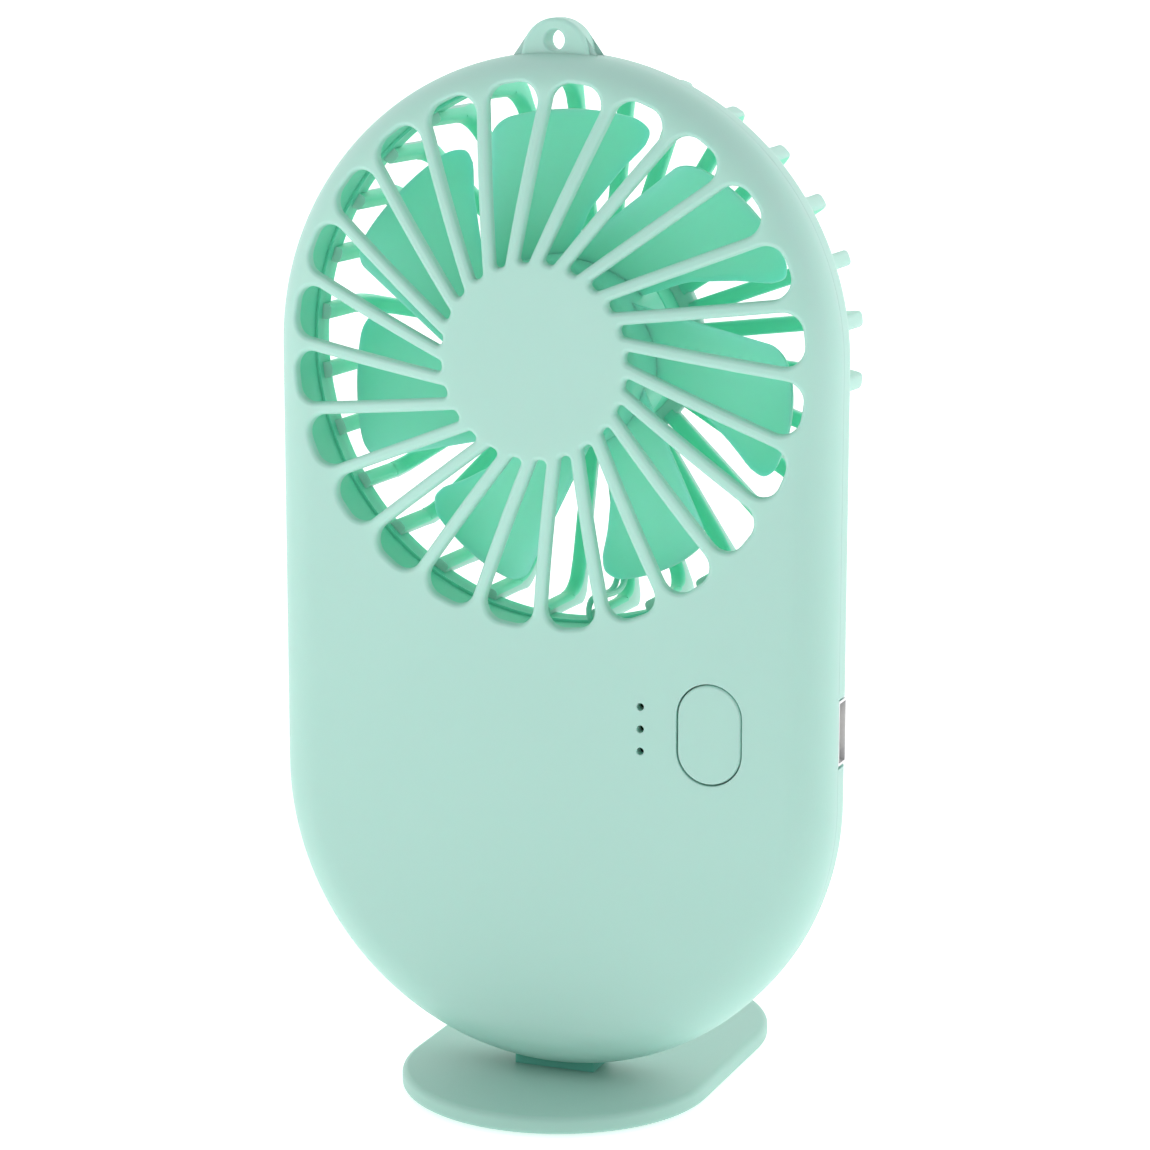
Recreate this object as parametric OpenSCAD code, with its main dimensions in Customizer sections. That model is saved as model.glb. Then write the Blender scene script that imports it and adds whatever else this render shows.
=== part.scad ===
// Pocket electric fan: a thin stadium-shaped housing with a round grille at its upper end,
// a seven-bladed impeller on a small brushed motor, and a folding foot hinged under the housing.
// Millimetres. +Z is up and the grille faces -Y. The origin is the centre of the underside of the
// foot, on the surface that the fan stands on.

/* [Housing] */
// Width of the housing
body_w = 66.8; // [62:0.2:72]
// Height of the housing without its foot
body_h = 116; // [110:1:124]
// Thickness of the housing from its front face to its back face
body_t = 10; // [9.6:0.2:11]
// Radius of the rounded front edge
front_round = 4.8; // [3.6:0.2:4.8]
// Radius of the rounded back edge
back_round = 3.2; // [2.4:0.2:3.2]
// Thickness of the plastic walls
wall = 1.4; // [1.2:0.1:1.6]

/* [Front grille] */
// Number of slots in the front grille
slot_count = 24; // [16:1:30]
// Radius of the flat disc in the middle of the front grille
hub_r = 10.9; // [9:0.1:12]
// Radius of the circle on which the slots end
slot_r = 30.4; // [28:0.1:30.6]
// Width of a spoke between two slots
spoke_w = 1.4; // [1:0.1:2]
// Angle by which the outer end of a spoke lags behind its inner end
spoke_sweep = 17; // [0:1:24]
// How far the middle disc stands ahead of the front face
dome_h = 2.9; // [2:0.1:4]

/* [Rear guard] */
// Number of ribs in the rear guard
rib_count = 28; // [20:1:32]
// Width of a rib
rib_w = 1.8; // [1.4:0.1:2.2]
// Outer radius of the rear guard
guard_r = 31.4; // [30:0.1:31.5]
// How far the rear guard stands behind the back face
guard_depth = 10; // [9.6:0.2:12]

/* [Impeller] */
// Number of blades
blade_count = 7; // [5:1:7]
// Radius of the circle that the blade tips describe
tip_r = 27; // [24:0.5:28]
// Pitch of the blades
blade_pitch = 24; // [16:1:28]

/* [Foot] */
// Width of the foot
foot_w = 36.4; // [32:0.2:40]
// Length of the foot
foot_l = 55.6; // [50:0.2:60]
// Thickness of the foot plate
foot_t = 2.1; // [1.8:0.1:2.6]
// Distance from the centre of the foot forward to the housing's middle plane
foot_offset = 10; // [8:0.5:12]

/* [Controls] */
// Width of the power button
button_w = 7.4; // [6:0.2:9]
// Height of the power button
button_h = 11.3; // [9:0.1:13]
// Distance that the power button travels
button_travel = 0.4; // [0.2:0.1:0.4]

/* [Hidden] */
$fn = 64;

// Overlap that makes a cut pass cleanly through a face
eps = 0.02;

// Heights above the surface
pad_proud = 0.3;                      // how far the foot pad stands below the foot plate
plate_top = pad_proud + foot_t;
body_gap = 0.6;                       // between the foot plate and the housing
body_z = plate_top + body_gap;        // lowest point of the housing
half_w = body_w / 2;
low_z = body_z + half_w;              // centre of the housing's lower round end
fan_z = body_z + body_h - half_w;     // fan axis, and centre of the upper round end

// Depths, measured from the housing's middle plane towards the back
body_y = -foot_offset;
front_y = -body_t / 2;
back_y = body_t / 2;
part_y = 0.1;                         // plane on which the two shells meet
front_in = front_y + wall;
back_in = back_y - wall;
in_r = half_w - wall;                 // inner radius of the round ends

// Front grille
hub_y = front_y - dome_h;
dome_edge_y = front_y + 0.6;
dome_edge_r = 31;
dome_drop = dome_edge_y - hub_y;
// Centre and radius of the sphere through the hub's rim and the dome's edge
dome_c = ((dome_edge_r * dome_edge_r - hub_r * hub_r) / dome_drop + hub_y + dome_edge_y) / 2;
dome_r = norm([dome_edge_r, dome_c - dome_edge_y]);
grille_t = 1.5;
dome_in_r = 27.5;                     // radius of the hollow behind the dome
spoke_phase = 0.5;
duct_r = 31;                          // inner radius of the wall round the impeller
duct_t = 0.8;

// Rear guard
guard_y = back_y + guard_depth;
rib_t = 1.8;                          // depth of a rib, front to back
flange_r = in_r - 0.2;
flange_t = 1.4;
guard_ring_in = 30.7;                 // inner radius of the ring on which the ribs stand
guard_hub_r = 12.4;
guard_hub_t = 1.6;
rib_phase = 71.3;
rib_corner = 1.2;                     // outside of a rib's bend
rib_fillet = 2.6;                     // inside of a rib's bend
cup_r = 10.5;

// Motor, on the fan axis
motor_r = 9;
motor_y0 = 2.2;
motor_y1 = 11.8;
can_t = 0.7;
shaft_r = 1;
shaft_front = -4.6;
bushing_r = 2;
magnet_in = 6.9;
core_r = 6.4;

// Impeller
imp_front = -5.2;
imp_back = 8;
imp_r = 11;
imp_wall = 1.3;
blade_t = 1.2;
blade_edge = 9.1;                     // from the blade's axis to its straight edge
blade_y = 3.4;
blade_phase = 37.4;

// Controls and electronics, on the right of the housing
button_x = 20;
button_z = body_z + 41.7;
led_x = 11.9;
led_pitch = 2.54;
led_hole_r = 0.43;
slit = 0.15;                          // clearance round the button
board_y = -0.5;
board_t = 1;
board_x0 = 8.8;
board_x1 = 31.2;
board_z0 = button_z - 8.4;
board_z1 = button_z + 6;
usb_z = button_z + 0.1;
usb_h = 7.4;
usb_t = 2.7;
usb_l = 5;
usb_mouth = half_w - 0.1;

// Battery, on the left
bat = [30, 5, 34.5];
bat_x = -23.5;
bat_y = -2.2;
bat_z = body_z + 14.5;

// Casing screws: x and height above the bottom of the housing
screws = [[-28.6, 51.5], [28.6, 51.5], [-17.5, 9.5], [17.5, 9.5]];
boss_r = 2.2;
screw_r = 0.8;
head_r = 1.5;
head_t = 1;
head_y = 3.5;                         // seat of the screw heads

// Foot hinge
hinge_drop = 4.4;                     // from the pin's axis down to the foot plate
hinge_z = plate_top + hinge_drop;
hinge_y = 1.4;
pin_r = 1;
pin_l = 16.8;
lug_w = 9.8;
lug_r = 2.5;
slot_gap = 0.35;
block_w = 17.6;
block_top = body_z + 7.8;
foot_end_r = foot_w / 2;

// Lanyard loop
loop_r = 3.95;
loop_z = body_z + body_h - 0.2;
loop_y0 = -1;
loop_t = 2.8;
loop_hole_r = 1.15;
loop_hole_z = loop_z + 1.5;

// Wires
wire_d = 0.7;
// The motor's wires lie along the first rib to the right of straight down, so their routes are
// drawn as if that rib pointed straight down, and then turned to it
wire_rib = floor((rib_phase + 90) / (360 / rib_count));
wire_turn = rib_phase + 90 - wire_rib * 360 / rib_count;
// Routes from the fan axis: x, depth from the middle plane, height
motor_red_route = [
  [-1.2, 12.3, -4.9], [-1.2, 12.4, -7.0], [-0.8, 12.7, -11.0], [-0.5, 12.7, -16.0],
  [-0.5, 12.7, -21.0], [-0.5, 12.5, -25.0], [-0.5, 11.4, -27.6], [-0.5, 9.0, -28.6],
  [-0.5, 5.0, -28.4], [-0.5, 2.8, -28.6], [-0.4, 1.5, -29.8], [0.2, 1.4, -31.4],
  [2.0, 1.4, -32.8], [4.5, 1.4, -34.0], [7.4, 1.3, -35.7], [7.9, 0.9, -38.1]
];
motor_black_route = [
  [1.2, 12.3, -4.9], [1.2, 12.4, -7.0], [0.8, 12.7, -11.0], [0.5, 12.7, -16.0],
  [0.5, 12.7, -21.0], [0.5, 12.5, -25.0], [0.5, 11.4, -27.6], [0.5, 9.0, -28.6],
  [0.5, 5.0, -28.4], [0.5, 3.2, -28.4], [0.6, 2.3, -29.8], [1.0, 2.5, -31.4],
  [3.2, 2.5, -32.8], [6.0, 2.5, -34.0], [8.6, 2.0, -36.2], [9.4, 0.9, -38.3]
];
battery_red_route = [
  [2.0, 0.3, -33.5], [2.5, 0.1, -32.9], [5.0, -0.2, -32.6], [7.8, -0.8, -33.4],
  [9.2, -1.0, -35.5], [10.2, -1.0, -37.5]
];
battery_black_route = [
  [-1.0, 0.3, -33.5], [-1.0, 0.1, -33.0], [0.0, -0.8, -32.5], [3.5, -1.4, -32.2], [7.5, -1.9, -32.2],
  [11.0, -1.6, -34.4], [11.9, -1.0, -37.5]
];

// Colours
mint = "#abd9cd";
mint_deep = "#78cfb1";
steel = "#a9adb0";
copper = "#b5673a";

// ---------- Placing ----------

module in_body() {
  translate([0, body_y, 0]) children();
}

// The fan axis: x and z stay, depth runs along Y
module on_axis() {
  translate([0, body_y, fan_z]) children();
}

// A cylinder along Y between two depths
module disc(r, y0, y1) {
  translate([0, y0, 0]) rotate([-90, 0, 0]) cylinder(r = r, h = y1 - y0);
}

module ring(r_out, r_in, y0, y1) {
  difference() {
    disc(r_out, y0, y1);
    disc(r_in, y0 - eps, y1 + eps);
  }
}

// A flat shape, drawn as seen from the front, given depth between y0 and y1
module plate(y0, y1) {
  translate([0, y1, 0]) rotate([90, 0, 0]) linear_extrude(height = y1 - y0) children();
}

// A solid of revolution about Y from a profile of radius and depth
module turned(angle = 360) {
  rotate([-90, 0, 0]) rotate_extrude(angle = angle) children();
}

module block(x0, x1, y0, y1, z0, z1) {
  translate([x0, y0, z0]) cube([x1 - x0, y1 - y0, z1 - z0]);
}

// ---------- Housing outline ----------

// Half of the cross-section: radius along x, depth along y, rounded at one or both corners
module half_section(r, y0, y1, round0, round1) {
  square_y0 = y0 + round0;
  square_y1 = y1 - round1;
  translate([0, square_y0]) square([r, square_y1 - square_y0]);
  if (round0 > 0) {
    translate([0, y0]) square([r - round0, round0 + eps]);
    translate([r - round0, square_y0]) intersection() {
      circle(r = round0);
      translate([-eps, -round0]) square([round0 + eps, round0 + eps]);
    }
  }
  if (round1 > 0) {
    translate([0, square_y1 - eps]) square([r - round1, round1 + eps]);
    translate([r - round1, square_y1]) intersection() {
      circle(r = round1);
      translate([-eps, -eps]) square([round1 + eps, round1 + eps]);
    }
  }
}

// A stadium-shaped solid with that cross-section all round its edge
module stadium(r, y0, y1, round0, round1) {
  translate([0, 0, fan_z]) turned(-180) half_section(r, y0, y1, round0, round1);
  translate([0, 0, low_z]) turned(180) half_section(r, y0, y1, round0, round1);
  translate([0, 0, low_z]) linear_extrude(height = fan_z - low_z) {
    half_section(r, y0, y1, round0, round1);
    mirror([1, 0]) half_section(r, y0, y1, round0, round1);
  }
}

// ---------- Housing ----------

module dome_ball(r, shift) {
  translate([0, dome_c + shift, fan_z]) sphere(r = r, $fn = 120);
}

module grille_dome() {
  intersection() {
    dome_ball(dome_r, 0);
    translate([0, 0, fan_z]) disc(dome_edge_r, hub_y, front_in);
  }
}

module grille_inside() {
  intersection() {
    dome_ball(dome_r - grille_t, 0);
    translate([0, 0, fan_z]) disc(dome_in_r, hub_y + grille_t, part_y + eps);
  }
}

// One spoke of the front grille, seen from the front, widening where it meets the rim
function polar(r, a) = [r * cos(a), r * sin(a)];

module spoke() {
  a0 = 0;
  a1 = -spoke_sweep;
  start = polar(hub_r - 1, a0);
  stop = polar(slot_r + 1, a1);
  run = stop - start;
  len = norm(run);
  across = [-run[1], run[0]] / len;
  along = run / len;
  w = spoke_w / 2;
  flare_from = len - 4.4;
  flare_mid = len - 2;
  polygon([
    start + across * w, start + along * flare_from + across * w,
    start + along * flare_mid + across * (w + 0.7), stop + across * (w + 2.2),
    stop - across * (w + 2.2), start + along * flare_mid - across * (w + 0.7),
    start + along * flare_from - across * w, start - across * w
  ]);
}

module slots_flat() {
  difference() {
    circle(r = slot_r, $fn = 120);
    circle(r = hub_r, $fn = 120);
    for (i = [0 : slot_count - 1]) rotate(spoke_phase + i * 360 / slot_count) spoke();
  }
}

module stadium_flat(w, h) {
  translate([0, (h - w) / 2]) circle(d = w);
  translate([0, -(h - w) / 2]) circle(d = w);
  square([w, h - w], center = true);
}

// Room for the foot's lug as it swings from below the housing to behind it
module lug_room() {
  w = lug_w / 2 + slot_gap;
  r = lug_r + slot_gap;
  translate([0, hinge_y, hinge_z]) {
    translate([-w, 0, 0]) rotate([0, 90, 0]) cylinder(r = r, h = 2 * w);
    block(-w, w, -r, 10, -10, 0);
    block(-w, w, 0, 10, -10, r);
  }
}

module hinge_block(y0, y1) {
  intersection() {
    block(-block_w / 2, block_w / 2, y0, y1, body_z, block_top);
    stadium(half_w - 0.6, front_y + 0.6, back_y - 0.6, front_round - 0.6, back_round - 0.6);
  }
}

module front_shell() color(mint) in_body() {
  difference() {
    union() {
      difference() {
        union() {
          stadium(half_w, front_y, part_y, front_round, 0);
          grille_dome();
        }
        stadium(in_r, front_in, part_y + eps, front_round - wall, 0);
        grille_inside();
      }
      hinge_block(front_in - eps, part_y);
      translate([0, 0, fan_z]) ring(duct_r + duct_t, duct_r, front_in - eps, back_in - flange_t - 0.1);
      for (s = screws) translate([s[0], 0, body_z + s[1]]) disc(boss_r, front_in - eps, part_y);
    }
    translate([0, 0, fan_z]) plate(hub_y - 1, front_in + 2) slots_flat();
    translate([button_x, 0, button_z]) {
      plate(front_y - 1, front_in + 1) stadium_flat(button_w + 2 * slit, button_h + 2 * slit);
    }
    for (k = [-1 : 1]) translate([led_x, 0, button_z + k * led_pitch]) {
      disc(led_hole_r, front_y - 1, front_in + 1);
    }
    for (s = screws) translate([s[0], 0, body_z + s[1]]) {
      disc(screw_r - 0.05, front_in + 0.2, part_y + eps);
    }
    // Notch through which the motor's wires leave the duct
    translate([0, 0, fan_z]) rotate([0, -wire_turn, 0]) {
      block(-1.4, 2, 0.4, 5, -duct_r - duct_t - 1, -duct_r + 1);
    }
    lug_room();
  }
}

module rear_shell() color(mint) in_body() {
  difference() {
    union() {
      difference() {
        stadium(half_w, part_y, back_y, 0, back_round);
        stadium(in_r, part_y - eps, back_in, 0, 0);
      }
      hinge_block(part_y, back_in + eps);
      for (s = screws) translate([s[0], 0, body_z + s[1]]) disc(boss_r, part_y, back_in + eps);
      difference() {
        translate([0, 0, loop_z]) disc(loop_r, loop_y0, loop_y0 + loop_t);
        stadium(half_w + slit, front_y, part_y, 0, 0);
      }
    }
    // The loop stays outside the housing
    intersection() {
      stadium(in_r, part_y - eps, back_in, 0, 0);
      translate([0, 0, loop_z]) disc(loop_r + 1, part_y - eps, back_in);
    }
    translate([0, 0, loop_hole_z]) disc(loop_hole_r, loop_y0 - 1, loop_y0 + loop_t + 1);
    translate([0, 0, fan_z]) disc(guard_r + 0.1, back_in - 1, back_y + 1);
    for (s = screws) translate([s[0], 0, body_z + s[1]]) {
      disc(screw_r + 0.15, part_y - eps, back_y + 1);
      disc(head_r + 0.2, head_y, back_y + 1);
    }
    block(half_w - 3, half_w + 1, board_y + board_t - 0.3, board_y + board_t + usb_t + 0.3,
          usb_z - usb_h / 2 - 0.3, usb_z + usb_h / 2 + 0.3);
    translate([0, hinge_y, hinge_z]) rotate([0, 90, 0]) cylinder(r = pin_r - 0.02, h = pin_l, center = true);
    lug_room();
  }
}

// One rib: it stands on the ring, turns the corner and runs in to the hub
module rib_profile() {
  out_r = guard_r;
  in_edge = out_r - rib_t;
  in_back = guard_y - rib_t;
  foot_y = back_in - 0.5;
  difference() {
    union() {
      translate([guard_hub_r - 1, foot_y]) square([out_r - rib_corner - guard_hub_r + 1, guard_y - foot_y]);
      translate([out_r - rib_corner - eps, foot_y]) {
        square([rib_corner + eps, guard_y - foot_y - rib_corner]);
      }
      translate([out_r - rib_corner, guard_y - rib_corner]) circle(r = rib_corner);
    }
    translate([guard_hub_r - 2, back_in - 1]) {
      square([in_edge - rib_fillet - guard_hub_r + 2, in_back - back_in + 1]);
    }
    translate([in_edge - rib_fillet - eps, back_in - 1]) {
      square([rib_fillet + eps, in_back - rib_fillet - back_in + 1]);
    }
    translate([in_edge - rib_fillet, in_back - rib_fillet]) circle(r = rib_fillet);
  }
}

module rear_guard() color(mint) on_axis() {
  difference() {
    union() {
      ring(flange_r, guard_ring_in, back_in - flange_t, back_in);
      ring(guard_r - 0.1, guard_ring_in, back_in - eps, back_y + 0.4);
      for (i = [0 : rib_count - 1]) {
        rotate([0, -rib_phase - i * 360 / rib_count, 0]) {
          translate([0, 0, -rib_w / 2]) linear_extrude(height = rib_w) rib_profile();
        }
      }
      disc(guard_hub_r, guard_y - guard_hub_t, guard_y + 0.3);
      ring(cup_r, motor_r + 0.05, motor_y1 - 3, guard_y - guard_hub_t + eps);
    }
    // Ways out for the motor's wires
    rotate([0, -wire_turn, 0]) {
      block(-1.8, 1.8, motor_y1 - 0.6, guard_y - guard_hub_t - 0.1, -cup_r - 0.5, -motor_r + 1.5);
      block(-1.4, 2, back_in - flange_t - 1, back_in - 0.6, -flange_r - 1, -guard_r + 3);
    }
  }
}

// ---------- Impeller ----------

// Outline of a blade seen along its own face, with the radius along x. One edge runs straight out
// beside the axis of the blade; the other runs away from it, so the blade is broadest at its tip.
module blade_outline() {
  far = tip_r + 2;
  polygon([[6, 0.5], [imp_r, 0], [16, -2], [20.5, -5.4], [23.6, -8], [25.2, -8.8], [26.4, -8.2],
           [far, -6], [far, 6], [26, 7.4], [24, blade_edge], [6, blade_edge]]);
}

module impeller() color(mint_deep) on_axis() {
  difference() {
    union() {
      difference() {
        disc(imp_r, imp_front, imp_back);
        disc(imp_r - imp_wall, imp_front + imp_wall, imp_back + eps);
      }
      disc(2.5, imp_front + eps, motor_y0 - 1.3);
      difference() {
        intersection() {
          disc(tip_r, -5, 12);
          for (i = [0 : blade_count - 1]) rotate([0, -blade_phase - i * 360 / blade_count, 0]) {
            translate([0, blade_y, 0]) rotate([90 + blade_pitch, 0, 0]) {
              translate([0, 0, -blade_t / 2]) linear_extrude(height = blade_t) blade_outline();
            }
          }
        }
        disc(imp_r - imp_wall / 2, -6, 13);
      }
    }
    disc(shaft_r - 0.02, shaft_front - 0.1, motor_y0);
  }
}

// ---------- Motor ----------

module motor_can() color(steel) on_axis() difference() {
  union() {
    disc(motor_r, motor_y0, motor_y1 - 0.4);
    disc(3, motor_y0 - 0.8, motor_y0 + eps);
  }
  disc(motor_r - can_t, motor_y0 + can_t, motor_y1);
  disc(bushing_r, motor_y0 - 1, motor_y1);
}

module motor_end_cap() color("#e9e6dc") on_axis() difference() {
  union() {
    disc(motor_r - can_t - 0.02, motor_y1 - 1.6, motor_y1 - 0.4);
    disc(motor_r - 0.3, motor_y1 - 0.4, motor_y1);
    disc(3, motor_y1 - eps, motor_y1 + 0.3);
  }
  disc(bushing_r, motor_y1 - 2, motor_y1 + 1);
  for (s = [-1, 1]) block(s * 1.2 - 0.6, s * 1.2 + 0.6, motor_y1 - 2, motor_y1 + 1, -4.6, -4.1);
}

module motor_magnets() color("#3b3b3e") on_axis() difference() {
  ring(motor_r - can_t - 0.02, magnet_in, motor_y0 + 1.4, motor_y1 - 2.2);
  for (a = [0, 180]) rotate([0, a, 0]) block(-2.6, 2.6, 0, 12, 0, motor_r);
}

module motor_bushings() color("#b28a4a") on_axis() {
  ring(bushing_r, shaft_r + 0.03, motor_y0 - 0.8, motor_y0 + 1.2);
  ring(bushing_r, shaft_r + 0.03, motor_y1 - 1.6, motor_y1 + 0.3);
}

module motor_shaft() color("#c4c8cb") on_axis() disc(shaft_r, shaft_front, motor_y1 + 0.2);

module armature_core() color("#8b8f93") on_axis() difference() {
  union() {
    ring(3, shaft_r - 0.01, motor_y0 + 2.4, motor_y0 + 6.6);
    for (i = [0 : 2]) rotate([0, i * 120, 0]) {
      block(2.4, core_r - 0.9, motor_y0 + 2.4, motor_y0 + 6.6, -0.8, 0.8);
      intersection() {
        ring(core_r, core_r - 1, motor_y0 + 2.4, motor_y0 + 6.6);
        block(0, core_r, motor_y0, motor_y1, -4.4, 4.4);
      }
    }
  }
}

// One coil wound round each pole
module armature_windings() color(copper) on_axis() {
  for (i = [0 : 2]) rotate([0, i * 120, 0]) difference() {
    block(3.2, core_r - 1.6, motor_y0 + 1.9, motor_y0 + 7.1, -1.9, 1.9);
    block(3, core_r, motor_y0 + 2.35, motor_y0 + 6.65, -0.85, 0.85);
  }
}

module commutator() color(copper) on_axis() {
  difference() {
    disc(1.9, motor_y0 + 7.2, motor_y1 - 1.7);
    disc(shaft_r - 0.01, motor_y0 + 7, motor_y1);
    for (i = [0 : 2]) rotate([0, 60 + i * 120, 0]) {
      block(1.5, 3, motor_y0 + 7, motor_y1, -0.12, 0.12);
    }
  }
}

module motor_brushes() color(copper) on_axis() for (s = [-1, 1]) {
  block(-5.5, 5.5, motor_y0 + 7.4, motor_y1 - 1.7, s * 2.2 - 0.15, s * 2.2 + 0.15);
}

module motor_terminals() color("#c9a24e") on_axis() for (s = [-1, 1]) {
  block(s * 1.2 - 0.5, s * 1.2 + 0.5, motor_y1 - 1.6, motor_y1 + 0.35, -4.5, -4.2);
}

// ---------- Wires ----------

// A point of a smooth curve through p1 and p2, with p0 and p3 before and after them
function smooth(p0, p1, p2, p3, t) =
  0.5 * (2 * p1 + (p2 - p0) * t + (2 * p0 - 5 * p1 + 4 * p2 - p3) * t * t
  + (3 * p1 - p0 - 3 * p2 + p3) * t * t * t);

function at(route, i) = route[max(0, min(len(route) - 1, i))];

function curve(route, steps) = [
  for (i = [0 : len(route) - 2], k = [0 : steps - 1])
    smooth(at(route, i - 1), at(route, i), at(route, i + 1), at(route, i + 2), k / steps),
  at(route, len(route) - 1)
];

function unit(v) = v / norm(v);

// The frame's side vector stays level with the X axis unless the wire runs along it
function side(t) = unit(cross(t, abs(t[0]) > 0.9 ? [0, 1, 0] : [1, 0, 0]));

module wire(route, r, sides = 8) {
  pts = curve(route, 3);
  n = len(pts);
  dirs = [for (i = [0 : n - 1]) unit(pts[min(n - 1, i + 1)] - pts[max(0, i - 1)])];
  rings = [
    for (i = [0 : n - 1])
      let (u = side(dirs[i]), v = cross(dirs[i], u))
        for (k = [0 : sides - 1]) pts[i] + r * (cos(k * 360 / sides) * u + sin(k * 360 / sides) * v)
  ];
  walls = [
    for (i = [0 : n - 2], k = [0 : sides - 1])
      let (a = i * sides + k, b = i * sides + (k + 1) % sides)
        each [[a, b, b + sides], [a, b + sides, a + sides]]
  ];
  first = [for (k = [sides - 1 : -1 : 0]) k];
  last = [for (k = [0 : sides - 1]) (n - 1) * sides + k];
  polyhedron(points = rings, faces = concat(walls, [first, last]));
}

module motor_wire_red() color("firebrick") on_axis() {
  rotate([0, -wire_turn, 0]) wire(motor_red_route, wire_d / 2);
}

module motor_wire_black() color("dimgray") on_axis() {
  rotate([0, -wire_turn, 0]) wire(motor_black_route, wire_d / 2);
}

module battery_wire_red() color("firebrick") on_axis() wire(battery_red_route, wire_d / 2);

module battery_wire_black() color("dimgray") on_axis() wire(battery_black_route, wire_d / 2);

// ---------- Battery and electronics ----------

module battery() color("#b9bec4") in_body() {
  end_r = bat[1] / 2;
  y = bat_y + end_r;
  block(bat_x + end_r, bat_x + bat[0] - end_r, bat_y, bat_y + bat[1], bat_z, bat_z + bat[2]);
  translate([bat_x + end_r, y, bat_z]) cylinder(r = end_r, h = bat[2]);
  translate([bat_x + bat[0] - end_r, y, bat_z]) cylinder(r = end_r, h = bat[2]);
}

module battery_pad() color("#45484b") in_body() {
  block(bat_x + 4, bat_x + bat[0] - 4, bat_y + bat[1], back_in, bat_z + 4, bat_z + bat[2] - 4);
}

module circuit_board() color("#1f6b3b") in_body() {
  block(board_x0, board_x1, board_y, board_y + board_t, board_z0, board_z1);
}

// Charging chip, boost coil, regulator and capacitors on the back of the board
module board_components() color("#26282b") in_body() {
  y = board_y + board_t;
  block(12, 16.2, y, y + 1.4, button_z - 4, button_z + 1);
  block(18.5, 23.5, y, y + 2.2, button_z - 5, button_z);
  block(19.5, 22.3, y, y + 1.1, button_z + 1.4, button_z + 3);
  for (k = [0 : 3]) block(11 + 1.6 * k, 11.8 + 1.6 * k, y, y + 0.7, button_z - 7, button_z - 5.4);
}

module tact_switch() color("#303236") in_body() translate([button_x, 0, button_z]) {
  difference() {
    block(-2, 2, board_y - 1.5, board_y, -2, 2);
    disc(1, board_y - 2, board_y - 0.3);
  }
}

module switch_plunger() color("#e4e2da") in_body() translate([button_x, 0, button_z]) {
  disc(0.9, board_y - 1.9, board_y - 0.8);
}

module status_leds() color("#f2f0c8") in_body() for (k = [-1 : 1]) {
  translate([led_x, 0, button_z + k * led_pitch]) block(-0.8, 0.8, board_y - 0.6, board_y, -0.4, 0.4);
}

module usb_port() color(steel) in_body() translate([0, board_y + board_t, usb_z]) difference() {
  block(usb_mouth - usb_l, usb_mouth, 0, usb_t, -usb_h / 2, usb_h / 2);
  block(usb_mouth - usb_l + 0.8, usb_mouth + 1, 0.3, usb_t - 0.3, -usb_h / 2 + 0.3, usb_h / 2 - 0.3);
}

module usb_tongue() color("#1d1e20") in_body() translate([0, board_y + board_t, usb_z]) {
  block(usb_mouth - usb_l + 0.8, usb_mouth - 0.7, 1.1, 1.7, -2.4, 2.4);
}

module power_button() color(mint) in_body() translate([button_x, 0, button_z]) {
  plate(front_y, front_in + 0.1) stadium_flat(button_w, button_h);
  plate(front_in + 0.1, front_in + 0.6) stadium_flat(button_w + 1.2, button_h + 1.2);
  disc(1.3, front_in + 0.6 - eps, board_y - 1.9);
}

// ---------- Fasteners ----------

module casing_screws() color(steel) in_body() for (s = screws) {
  translate([s[0], 0, body_z + s[1]]) difference() {
    union() {
      disc(screw_r, front_in + 0.6, head_y + eps);
      disc(head_r, head_y, head_y + head_t);
    }
    block(-1.1, 1.1, head_y + head_t - 0.4, head_y + head_t + 1, -0.15, 0.15);
    block(-0.15, 0.15, head_y + head_t - 0.4, head_y + head_t + 1, -1.1, 1.1);
  }
}

module hinge_pin() color(steel) in_body() translate([0, hinge_y, hinge_z]) {
  rotate([0, 90, 0]) cylinder(r = pin_r, h = pin_l - 0.2, center = true);
}

// ---------- Foot ----------

module foot_flat(inset) {
  stadium_flat(foot_w - 2 * inset, foot_l - 2 * inset);
}

module foot_plate() color(mint) difference() {
  union() {
    edge = 0.5;
    translate([0, 0, pad_proud]) linear_extrude(height = foot_t - edge) foot_flat(0);
    translate([0, 0, plate_top - edge - eps]) linear_extrude(height = edge + eps) foot_flat(edge);
    translate([0, body_y + hinge_y, hinge_z]) {
      translate([-lug_w / 2, 0, 0]) rotate([0, 90, 0]) cylinder(r = lug_r, h = lug_w);
      block(-lug_w / 2, lug_w / 2, -lug_r, lug_r, -hinge_drop - edge, 0);
    }
  }
  translate([0, 0, pad_proud - eps]) linear_extrude(height = 0.5 + eps) foot_flat(3);
  translate([0, body_y + hinge_y, hinge_z]) rotate([0, 90, 0]) {
    cylinder(r = pin_r + 0.05, h = lug_w + 1, center = true);
  }
}

module foot_pad() color("#8fbcae") {
  linear_extrude(height = pad_proud + 0.5) foot_flat(3.1);
}

front_shell();
rear_shell();
rear_guard();
impeller();
motor_can();
motor_end_cap();
motor_magnets();
motor_bushings();
motor_shaft();
armature_core();
armature_windings();
commutator();
motor_brushes();
motor_terminals();
motor_wire_red();
motor_wire_black();
battery();
battery_pad();
battery_wire_red();
battery_wire_black();
circuit_board();
board_components();
tact_switch();
switch_plunger();
status_leds();
usb_port();
usb_tongue();
power_button();
casing_screws();
foot_plate();
foot_pad();
hinge_pin();
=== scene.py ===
"""Pocket electric fan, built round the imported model. Lengths are in millimetres, and depths are
measured from the housing's middle plane towards the back, until a piece is made."""
import math

import bmesh
import bpy
import numpy as np
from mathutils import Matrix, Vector
from mathutils.geometry import delaunay_2d_cdt


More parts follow.
